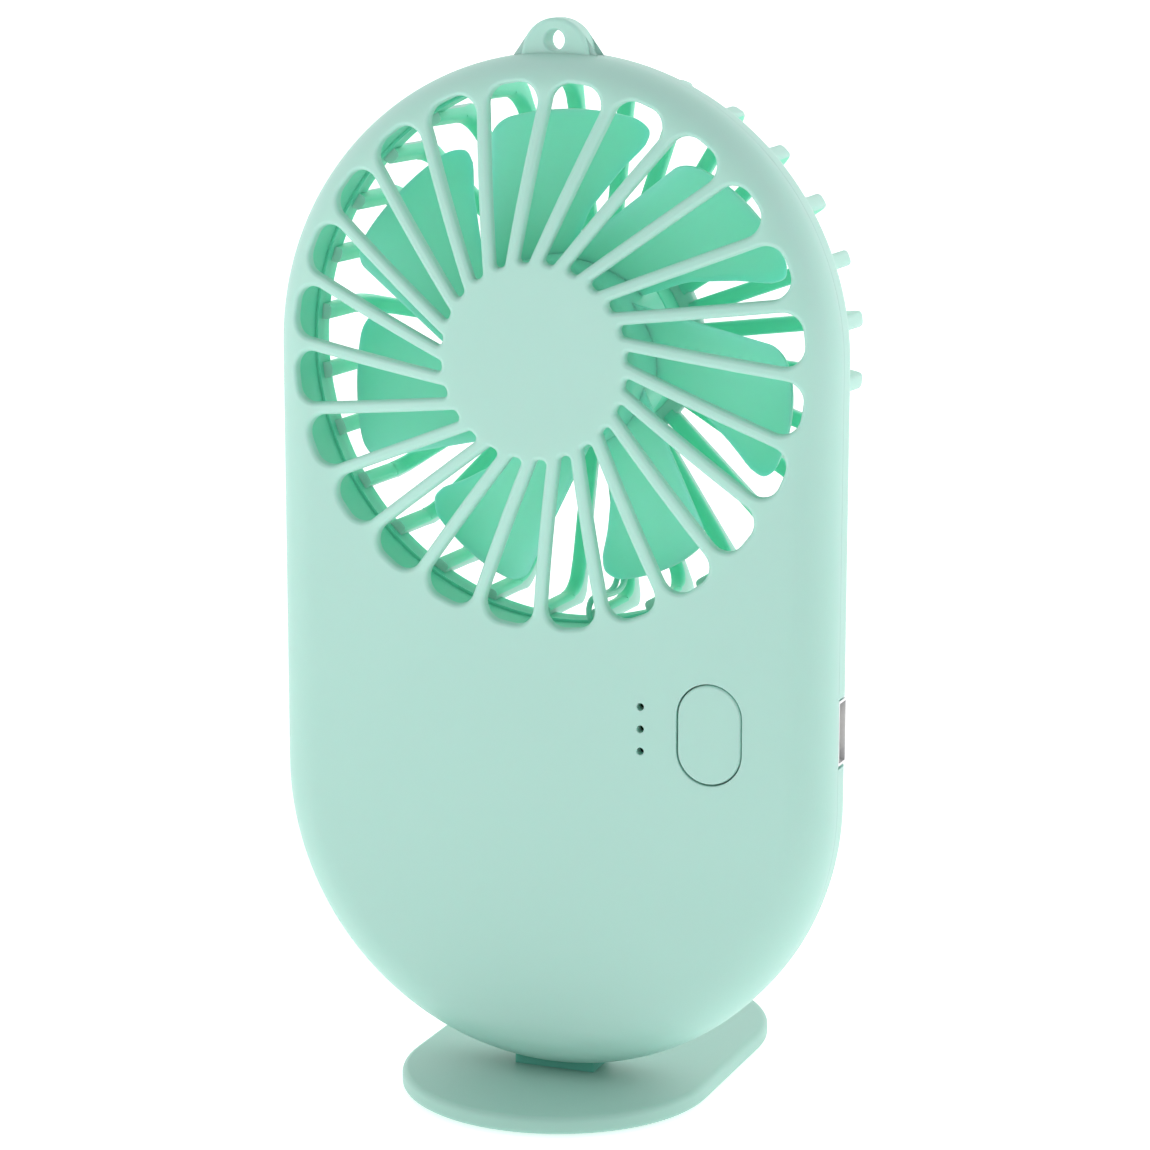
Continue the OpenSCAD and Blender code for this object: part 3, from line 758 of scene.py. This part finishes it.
def rear_shell():
    shape = Shape()
    usb_mid = (usb_low.z + usb_high.z) / 2
    usb_half = (usb_high.z - usb_low.z) / 2 + usb_gap
    usb_y0 = usb_low.y - mid_y - usb_gap
    usb_y1 = usb_high.y - mid_y + usb_gap
    bottom, top = usb_mid - usb_half, usb_mid + usb_half
    columns = rim_columns([bottom, top])
    stop_turn = math.degrees(math.asin((usb_y1 - back_y + back_round) / back_round))
    turns = sorted(list(np.linspace(0, 90, 13)[:-1]) + [stop_turn])
    kept_turn = turn_at(rear_sheet_in, back_round)
    turns = [t for t in turns if t < kept_turn - 2] + [kept_turn]
    outer = rounding(0, back_y, back_round, turns, 1)
    inner = [(wall, part_y, None), (wall, usb_y0, None), (wall, usb_y1, None), (wall, back_in - sunk, None),
             (rear_inner_in, back_in, None)]
    profile = inner[::-1] + [(seam, part_y, None), (0, part_y + seam, 0)] + outer
    levels = [p[1] for p in profile]
    right = [i for i, c in enumerate(columns) if c[1] == 0 and bottom - near <= c[0] < top - near]

    def skip(i, k):
        j = (i + 1) % len(columns)
        if in_notch(columns[i]) and in_notch(columns[j]):
            return True
        if i in right:
            a, b = min(levels[k], levels[k + 1]), max(levels[k], levels[k + 1])
            return a >= usb_y0 - near and b <= usb_y1 + near
        return False

    rows = rim(shape, columns, [profile] * len(columns), 1, skip)
    # Walls of the charging socket's opening
    after = (right[-1] + 1) % len(columns)
    beside = [k for k, y in enumerate(levels) if usb_y0 - near <= y <= usb_y1 + near]
    out_k = [k for k in beside if k >= len(inner)]
    in_k = [k for k in beside if k < len(inner)]
    usb_walls(shape, rows, right, after, out_k, in_k)

    def notch(middles):
        return (np.abs(middles[:, 0]) < notch_w) & (middles[:, 1] < notch_top)

    screws = [arc((x, body_z + z), screw_hole_r, 0, 360, 40)[:-1] for x, z in screw_places]
    guard = arc((0, fan_z), guard_hole_r, 0, 360, 180)[:-1]
    sides = notch_points()
    outline = column_loop(columns, rear_sheet_in)
    loops = [outline, guard] + screws
    grid = scatter(loops, 2.4, 1.0)
    room = 0.6
    clear = ~((np.abs(np.abs(grid[:, 0]) - notch_w) < room) & (grid[:, 1] < notch_top + room))
    clear &= ~((np.abs(grid[:, 0]) < notch_w + room) & (np.abs(grid[:, 1] - notch_top) < room))
    extra = np.concatenate([sides, grid[clear]])
    rims = face(shape, loops, [0, 0.35] + [0.2] * 4, rear_height, 1, extra, drop=notch, first_row=rows[-1])
    first = len(shape.points) - len(extra)
    notch_row = list(range(first, first + len(sides)))
    inner_outline = column_loop(columns, rear_inner_in)
    back = [inner_outline, guard] + screws
    back_rims = face(shape, back, [0] * len(back), level(back_in), -1, sides, steps=1, drop=notch,
                     first_row=rows[0])
    back_notch = list(range(len(shape.points) - len(sides), len(shape.points)))
    for a, b in zip(rims[1:], back_rims[1:]):
        shape.strip(a, b)
    shape.strip(notch_row, back_notch, closed=False)
    boss_y = back_in + 0.3
    for x, z in screw_places:
        revolve(shape, [(rear_boss_r, part_y + sunk), (rear_boss_r, boss_y), (screw_hole_r, boss_y),
                        (screw_hole_r, seat_y), (rear_boss_bore, seat_y),
                        (rear_boss_bore, part_y + sunk)], 32, (x, body_z + z), closed=True)
    hinge_cheeks(shape, part_y + 0.05, back_in - 0.3)
    lanyard_loop(shape)
    shape.make("rear_cover", "housing", shell_plastics, ["rear_shell"])


def notch_points():
    """Points up the notch's left side, over its top and down its right side."""
    bottom = low_z - math.sqrt((half_w - rear_sheet_in)**2 - notch_w**2) + 0.25
    left = [(-notch_w, z) for z in np.linspace(bottom, notch_top, 7)]
    top = [(x, notch_top) for x in np.linspace(-notch_w, notch_w, 13)[1:-1]]
    right = [(notch_w, z) for z in np.linspace(notch_top, bottom, 7)]
    return np.array(left + top + right)


def usb_walls(shape, rows, right, after, out_k, in_k):
    """Joins the opening's outer edge to its inner edge. right holds its columns and after the next one;
    out_k and in_k are the rows beside it on the outside and the inside."""
    ring_out = [rows[out_k[0]][i] for i in right] + [rows[k][after] for k in out_k]
    ring_out += [rows[out_k[-1]][i] for i in reversed(right)] + [rows[k][right[0]] for k in out_k[-2:0:-1]]
    low, high = rows[in_k[-1]], rows[in_k[0]]
    n_side = len(out_k)
    ring_in = [low[i] for i in right] + [low[after]] * (n_side - 1) + [high[after]]
    ring_in += [high[i] for i in reversed(right)] + [low[right[0]]] * (n_side - 2)
    n = len(ring_out)
    for i in range(n):
        j = (i + 1) % n
        quad = [ring_out[i], ring_out[j], ring_in[j], ring_in[i]]
        corners = [v for k, v in enumerate(quad) if v != quad[k - 1]]
        if len(corners) > 2:
            shape.add(tuple(corners))


# ---------- Lanyard loop ----------

loop_r = 3.95
loop_y0 = -1
loop_y1 = 1.8
loop_z = front_high.z - 0.2
loop_hole_r = 1.15
loop_hole_z = loop_z + 1.5


def lanyard_loop(shape):
    """A round lug that flares softly into the top of the housing, with a hole for a cord."""
    meet = 8                     # angle on the lug at which its flare begins
    foot_angle = 81.6            # bearing of the flare's end from the fan axis
    cap_r = 0.65                 # rounding of the part that is buried in the wall
    cap_in = 0.8
    pull_foot, pull_lug = 0.7, 0.9   # reach of the flare's curve at its two ends
    toward = np.array([math.cos(math.radians(foot_angle)), math.sin(math.radians(foot_angle))])
    cap_at = toward * (half_w - cap_in)
    cap = arc(cap_at, cap_r, foot_angle + 180, foot_angle + 360, 9)
    start = cap[-1]
    a = math.radians(meet)
    stop = np.array([loop_r * math.cos(a), loop_z - fan_z + loop_r * math.sin(a)])
    p1 = start + np.array([-toward[1], toward[0]]) * pull_foot
    p2 = stop + np.array([math.sin(a), -math.cos(a)]) * pull_lug
    t = np.linspace(0, 1, 12)[1:-1, None]
    curve = start * (1 - t)**3 + 3 * p1 * t * (1 - t)**2 + 3 * p2 * t * t * (1 - t) + stop * t**3
    right = np.concatenate([cap, curve])
    left = right[::-1] * (-1, 1)
    crown = arc((0, loop_z - fan_z), loop_r, meet, 180 - meet, 30)
    under = arc((0, 0), half_w - cap_in - cap_r, 180 - foot_angle, foot_angle, 12)[1:-1]
    outline = np.concatenate([right, crown, left, under]) + (0, fan_z)
    hole = arc((0, loop_hole_z), loop_hole_r, 0, 360, 28)[:-1]
    loops = [outline, hole]
    front = face(shape, loops, [0.5, 0.3], level(loop_y0), -1, [], steps=4)
    back = face(shape, loops, [0.5, 0.3], level(loop_y1), 1, [], steps=4)
    for a, b in zip(front, back):
        shape.strip(a, b)


# ---------- Rear guard ----------

guard_hub_proud = 0.3            # how far the guard's hub stands behind its ribs
guard_y = guard_high.y - guard_hub_proud - mid_y
guard_r = guard_high.x - 0.4
rib_count = 28
rib_w = 1.8
rib_t = 1.8
rib_phase = 71.3
rib_corner = 1.2                 # outside of a rib's bend
rib_fillet = 2.6                 # inside of a rib's bend
guard_hub_r = 12.4
guard_hub_t = 1.6
cup_r = 10.5                     # the cup that holds the motor
cup_bore = 9.05
cup_l = 3.8
flange_r = half_w - wall - 0.2
guard_ring_in = 30.7             # inner radius of the ring on which the ribs stand


def rib_stages():
    """Along a rib: a point on its inside, the way across to its outside, and its depth there."""
    inside_bend = (guard_r - rib_t - rib_fillet, guard_y - rib_t - rib_fillet)
    outside_bend = (guard_r - rib_corner, guard_y - rib_corner)
    depths = (back_in - 0.4, back_y + 0.5, outside_bend[1] - 3)
    stages = [((guard_r - rib_t, y), (guard_r, y)) for y in depths]
    for turn in np.linspace(0, 90, 11):
        c, s = math.cos(math.radians(turn)), math.sin(math.radians(turn))
        stages.append(((inside_bend[0] + rib_fillet * c, inside_bend[1] + rib_fillet * s),
                       (outside_bend[0] + rib_corner * c, outside_bend[1] + rib_corner * s)))
    for r in np.linspace(outside_bend[0] - 4, guard_hub_r - 0.8, 8):
        stages.append(((r, guard_y - rib_t), (r, guard_y)))
    return stages


def rear_guard():
    shape = Shape()
    edge = 0.55
    w = rib_w / 2
    for i in range(rib_count):
        a = math.radians(rib_phase + i * 360 / rib_count)
        radial = np.array([math.cos(a), 0, math.sin(a)])
        across = np.array([-math.sin(a), 0, math.cos(a)])
        back = np.array([0, 1, 0])
        rows = []
        for inner, outer in rib_stages():
            inner = radial * inner[0] + back * inner[1] + (0, 0, fan_z)
            outer = radial * outer[0] + back * outer[1] + (0, 0, fan_z)
            depth = np.linalg.norm(outer - inner)
            way = (outer - inner) / depth
            section = rounded([(w, depth), (-w, depth), (-w, 0), (w, 0)], [edge] * 4, 3)
            rows.append(shape.row([inner + across * u + way * v for u, v in section]))
        # The ribs' inner faces take material 1: painted shade
        shape.loft(rows, caps=True, shaded_faces=range(7, 15))
    # The ring and its flange take the painted-shade copy of the plastic
    shape.tag = 1
    ring_r = guard_r - 0.1
    start, stop = back_in - 0.1, back_y + 0.4
    ring = rounded([(ring_r, start), (ring_r, stop), (guard_ring_in, stop), (guard_ring_in, start)],
                   [0, 0.25, 0.25, 0])
    revolve(shape, ring, 180, closed=True)
    flange_in = guard_ring_in - 0.02
    start, stop = back_in - flange_t, back_in - 0.03
    revolve(shape, [(flange_r, start), (flange_r, stop), (flange_in, stop), (flange_in, start)], 180,
            closed=True)
    shape.tag = 0
    start, stop = guard_y - guard_hub_t, guard_y + guard_hub_proud
    hub = rounded([(0, start), (guard_hub_r, start), (guard_hub_r, stop), (0, stop)], [0, 0.3, 0.7, 0])
    hub = [p for p in hub if p[0] > 0]
    revolve(shape, [(0.3, start)] + hub + [(0.3, stop)], 96)
    # The motor's cup takes the painted-shade copy too
    shape.tag = 1
    stop, start = start + 0.05, start - cup_l
    cup = rounded([(cup_r, stop), (cup_r, start), (cup_bore, start), (cup_bore, stop)], [0, 0.3, 0.2, 0])
    revolve(shape, cup, 96, closed=True)
    shape.make("rear_guard_cage", "housing", shell_plastics, ["rear_guard"])


# ---------- Impeller ----------

blade_count = 7
tip_r = 27
blade_phase = 37.4
blade_y = 3.4
shaft_r = 1
imp_r = 11
imp_front = -5.2
imp_back = 8
imp_wall = 1.3
root_r = imp_r - 0.6             # the blade's root, buried in the wall of the wheel's hub
blade_edge = 9.1                 # from the blade's axis to its straight edge


def blade_edges(x):
    """How far the blade reaches to either side of its axis, at that distance from the fan's axis."""
    swept = np.interp(x, [root_r, 16, 20.5, 23.6, 26], [0, 2.1, 5.4, 8.0, 8.9])
    return -float(swept), blade_edge


def blade(shape, angle):
    """One blade: pitched more at its root than at its tip, slightly cupped, with rounded corners."""
    corner = 2.3
    across = np.sin(np.radians(np.linspace(-90, 90, 17)))
    body = list(np.linspace(root_r, tip_r - corner, 18))
    turns = np.radians(np.linspace(0, 84, 9)[1:])
    stations = [(x, 0) for x in body]
    stations += [(tip_r - corner + corner * math.sin(t), 1 - math.cos(t)) for t in turns]
    rows = []
    a = math.radians(angle)
    radial = np.array([math.cos(a), 0, math.sin(a)])
    sideways = np.array([-math.sin(a), 0, math.cos(a)])
    back = np.array([0, 1, 0])
    for x, lost in stations:
        low, high = blade_edges(x)
        low, high = low + corner * lost, high - corner * lost
        half, centre = (high - low) / 2, (high + low) / 2
        pitch = math.radians(np.interp(x, [root_r, tip_r], [26, 23.5]))
        chord = -back * math.sin(pitch) + sideways * math.cos(pitch)
        normal = back * math.cos(pitch) + sideways * math.sin(pitch)
        thick = np.interp(x, [root_r, tip_r], [0.75, 0.5])
        ring = []
        for face_side in (1, -1):
            order = across if face_side > 0 else -across
            for u in order[:-1]:
                c = centre + u * half
                cup = 0.5 * (1 - u * u)
                edge = math.sqrt(max(0, 1 - abs(u)**6)) * 0.75
                share = (x - root_r) / (tip_r - root_r)
                tip_shift = math.sqrt(tip_r**2 - c * c) - tip_r
                root_shift = math.sqrt(root_r**2 - (c * math.cos(pitch))**2) - root_r
                p = radial * (x + tip_shift * share**3 + root_shift * (1 - share)**2) + chord * c
                p = p + normal * (cup + face_side * thick * edge) + back * blade_y + (0, 0, fan_z)
                ring.append(p)
        rows.append(shape.row(ring))
    shape.loft(rows, caps=True)


def impeller():
    shape = Shape()
    for i in range(blade_count):
        blade(shape, blade_phase + i * 360 / blade_count)
    inner_r, floor_y = imp_r - imp_wall, imp_front + imp_wall
    corners = [(shaft_r, imp_front), (imp_r, imp_front), (imp_r, imp_back), (inner_r, imp_back),
               (inner_r, floor_y), (shaft_r, floor_y)]
    revolve(shape, rounded(corners, [0, 1.4, 0.3, 0.3, 0.8, 0]), 96, closed=True)
    sleeve_r, sleeve_start, sleeve_end = 2.5, floor_y - 0.1, 0.9
    revolve(shape, [(sleeve_r, sleeve_start), (sleeve_r, sleeve_end), (shaft_r, sleeve_end),
                    (shaft_r, sleeve_start)], 48, closed=True)
    shape.make("impeller_wheel", "rotor", [impeller_plastic], ["impeller"])


# ---------- Power button ----------

def power_button():
    shape = Shape()
    loops = [stadium(button_w, button_h, button_at)]
    front = face(shape, loops, [0.3], level(front_y + sunk), -1, scatter(loops, 1.5, 0.8), steps=4)
    back = face(shape, loops, [0], level(front_in + 0.1), 1, [])
    shape.strip(front[0], back[0])
    lip_w, stem_r = 1.2, 1.3
    wide = [stadium(button_w + lip_w, button_h + lip_w, button_at)]
    lip = [face(shape, wide, [0.1], level(y), side, [], steps=1)
           for y, side in ((front_in + 0.08, -1), (front_in + 0.6, 1))]
    shape.strip(lip[0][0], lip[1][0])
    stem_end = plunger_low.y - mid_y - sunk
    revolve(shape, [(stem_r, front_in + 0.5), (stem_r, stem_end), (0.05, stem_end)], 32, button_at)
    shape.make("power_button_cap", "button", [housing_plastic], ["power_button"])


# ---------- Foot ----------

def foot():
    """The plate is drawn in the plane of the floor, so its loops use y in place of z."""
    shape = Shape()
    length = foot_high.y - foot_low.y
    width = foot_high.x - foot_low.x
    plate_top = pin_low.z + pin_r - hinge_drop
    pad_proud, pad_in, well_depth = 0.3, 3, 0.5
    base = pad_low.z + pad_proud
    loop = stadium(width, length, (0, 0), 48)
    stages = []
    round_top, round_base = 0.75, 0.55
    for turn in np.linspace(0, 90, 7):
        t = math.radians(turn)
        stages.append((round_top * (1 - math.sin(t)), plate_top - round_top * (1 - math.cos(t)), 90 - turn))
    for turn in np.linspace(0, 90, 5):
        t = math.radians(turn)
        stages.append((round_base * (1 - math.cos(t)), base + round_base * (1 - math.sin(t)), -turn))
    rows = []
    for inset, z, tilt in stages:
        moved, outward = offset(loop, -inset)
        t = math.radians(tilt)
        rows.append(shape.row([(x, y, z) for x, y in moved],
                              [(o[0] * math.cos(t), o[1] * math.cos(t), math.sin(t)) for o in outward]))
    shape.loft(rows)
    shape.add(tuple(rows[0]))
    well, _ = offset(loop, -pad_in)
    under = shape.row([(x, y, base) for x, y in well])
    deep = shape.row([(x, y, base + well_depth) for x, y in well])
    shape.strip(rows[-1], under)
    shape.strip(under, deep)
    shape.add(tuple(deep))
    # The hinge's lug, in a dark copy of the foot's plastic: painted shade
    shape.tag = 1
    y0 = hinge_y + mid_y
    low = plate_top - 0.4
    lug = [(y0 + lug_r * math.cos(math.radians(a)), hinge_z + lug_r * math.sin(math.radians(a)))
           for a in np.linspace(0, 180, 25)]
    lug += [(y0 - lug_r, z) for z in np.linspace(hinge_z, low, 6)[1:]]
    lug += [(y0 + lug_r, z) for z in np.linspace(low, hinge_z, 6)[:-1]]
    half, soft = lug_w / 2, 0.35
    middle = np.array([y0, hinge_z])
    rows = []
    for t in np.radians(np.linspace(0, 90, 5)):
        shrink = soft * (1 - math.sin(t))
        ring = [tuple(np.array(p) + (middle - p) / np.linalg.norm(middle - p) * shrink) for p in lug]
        rows.append((-half + soft * (1 - math.cos(t)), ring))
    rows += [(-x, ring) for x, ring in reversed(rows)]
    shape.loft([shape.row([(x, y, z) for y, z in ring]) for x, ring in rows], caps=True)
    shape.make("folding_foot", "foot", [foot_plastic, lug_shade_plastic], ["foot_plate"],
               shift=(0, 0, 0))


front_shell()
rear_shell()
rear_guard()
impeller()
power_button()
foot()

# ---------- Parts kept from the model ----------

rubber = plastic("foot_rubber", (0.30, 0.50, 0.43), 0.75, grain=500, bump=0.15)
steel = metal("zinc_steel", (0.62, 0.63, 0.65), 0.3)
tin = metal("tinned_steel", (0.90, 0.90, 0.91), 0.5)
bright = metal("ground_steel", (0.72, 0.73, 0.75), 0.18, (40, 900, 40))
nylon = plastic("nylon", (0.82, 0.80, 0.74), 0.45)
ferrite = plastic("ferrite", (0.05, 0.05, 0.055), 0.55, bump=0.2)
bronze = metal("bronze", (0.66, 0.48, 0.25), 0.45)
copper = metal("copper", (0.72, 0.34, 0.18), 0.3, (100, 1500, 100))
# The motor's leads show between the ribs, so they have the housing's colour
sleeve = plastic("lead_sleeve", (0.24, 0.70, 0.54), 0.4)
red = plastic("wire_red", (0.55, 0.04, 0.03), 0.35)
black = plastic("wire_black", (0.03, 0.03, 0.03), 0.35)
foil = metal("pouch_foil", (0.70, 0.72, 0.74), 0.35, (60, 60, 60))
foam = plastic("foam", (0.06, 0.065, 0.07), 0.9, grain=200, bump=0.6)
laminate = plastic("board_laminate", (0.02, 0.20, 0.07), 0.3)
epoxy = plastic("component_black", (0.03, 0.03, 0.035), 0.5)
lens = plastic("led_lens", (0.05, 0.30, 0.18), 0.2)
KEPT = {
    "foot_pad": rubber, "hinge_pin": steel, "casing_screws": steel, "motor_can": steel,
    "motor_end_cap": nylon, "motor_magnets": ferrite, "motor_bushings": bronze, "motor_shaft": bright,
    "armature_core": steel, "armature_windings": copper, "commutator": copper, "motor_brushes": copper,
    "motor_terminals": bronze, "motor_wire_red": sleeve, "motor_wire_black": sleeve,
    "battery": foil, "battery_pad": foam, "battery_wire_red": red, "battery_wire_black": black,
    "circuit_board": laminate, "board_components": epoxy, "tact_switch": epoxy,
    "switch_plunger": nylon, "status_leds": lens, "usb_port": tin, "usb_tongue": nylon,
}
for node, material in KEPT.items():
    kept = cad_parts[node]
    kept.data.materials.clear()
    kept.data.materials.append(material)

# ---------- Floor, light and camera ----------

def floor():
    mesh = bpy.data.meshes.new("floor")
    reach = 40
    corners = [(-reach, -reach, 0), (reach, -reach, 0), (reach, reach, 0), (-reach, reach, 0)]
    mesh.from_pydata(corners, [], [(0, 1, 2, 3)])
    ground = bpy.data.objects.new("floor", mesh)
    bpy.context.scene.collection.objects.link(ground)
    material, _, shader = node_tree("floor_paper")
    shader.inputs["Base Color"].default_value = (0.92, 0.92, 0.92, 1)
    shader.inputs["Roughness"].default_value = 0.8
    shader.inputs["Emission Color"].default_value = (1, 1, 1, 1)
    shader.inputs["Emission Strength"].default_value = 0.5
    mesh.materials.append(material)


def area_light(name, place, aim, width, height, power):
    data = bpy.data.lights.new(name, "AREA")
    data.shape = "RECTANGLE"
    data.size = width
    data.size_y = height
    data.energy = power
    lamp = bpy.data.objects.new(name, data)
    lamp.location = place
    lamp.rotation_mode = "QUATERNION"
    lamp.rotation_quaternion = (Vector(aim) - Vector(place)).to_track_quat("-Z", "Y")
    bpy.context.scene.collection.objects.link(lamp)


floor()
centre = (0, 0, 0.06)
area_light("key", (-0.30, -0.28, 0.04), centre, 0.25, 0.4, 0.45)
area_light("fill", (0.6, 0.05, 0.3), centre, 0.3, 0.5, 0.15)

scene = bpy.context.scene
world = bpy.data.worlds.new("studio")
world.use_nodes = True
# The studio is brighter behind the object than in front of it, and dimmer overhead
sky = world.node_tree
heading = add_node(sky, "TexCoord")
split = add_node(sky, "SeparateXYZ")
shade = add_node(sky, "MapRange", From_Min=-0.7, From_Max=0.5, To_Min=0.6, To_Max=1.7)
overhead = add_node(sky, "MapRange", From_Min=0, From_Max=0.9, To_Min=1.0, To_Max=0.6)
product = add_node(sky, "Math")
product.operation = "MULTIPLY"
background = sky.nodes["Background"]
background.inputs["Color"].default_value = (1, 1, 1, 1)
join(sky, (heading.outputs["Generated"], split.inputs["Vector"]),
     (split.outputs["Y"], shade.inputs["Value"]),
     (split.outputs["Z"], overhead.inputs["Value"]),
     (shade.outputs["Result"], product.inputs[0]),
     (overhead.outputs["Result"], product.inputs[1]),
     (product.outputs["Value"], background.inputs["Strength"]))
scene.world = world
scene.view_settings.view_transform = "Standard"

view_azimuth = math.radians(21.85)
view_elevation = math.radians(11.11)
view_distance = 0.3898
target = Vector((0, mid_y * MM, 0.0605))
back_to_camera = Vector((
    math.sin(view_azimuth) * math.cos(view_elevation),
    -math.cos(view_azimuth) * math.cos(view_elevation),
    math.sin(view_elevation)))
camera_data = bpy.data.cameras.new("camera")
camera_data.sensor_width = 36
camera_data.lens = 107.9
camera_data.shift_x = 0.0152
camera_data.shift_y = -0.0005
camera_data.clip_start = 0.01
camera = bpy.data.objects.new("camera", camera_data)
camera.location = target + back_to_camera * view_distance
camera.rotation_mode = "QUATERNION"
camera.rotation_quaternion = (-back_to_camera).to_track_quat("-Z", "Y")
scene.collection.objects.link(camera)
scene.camera = camera
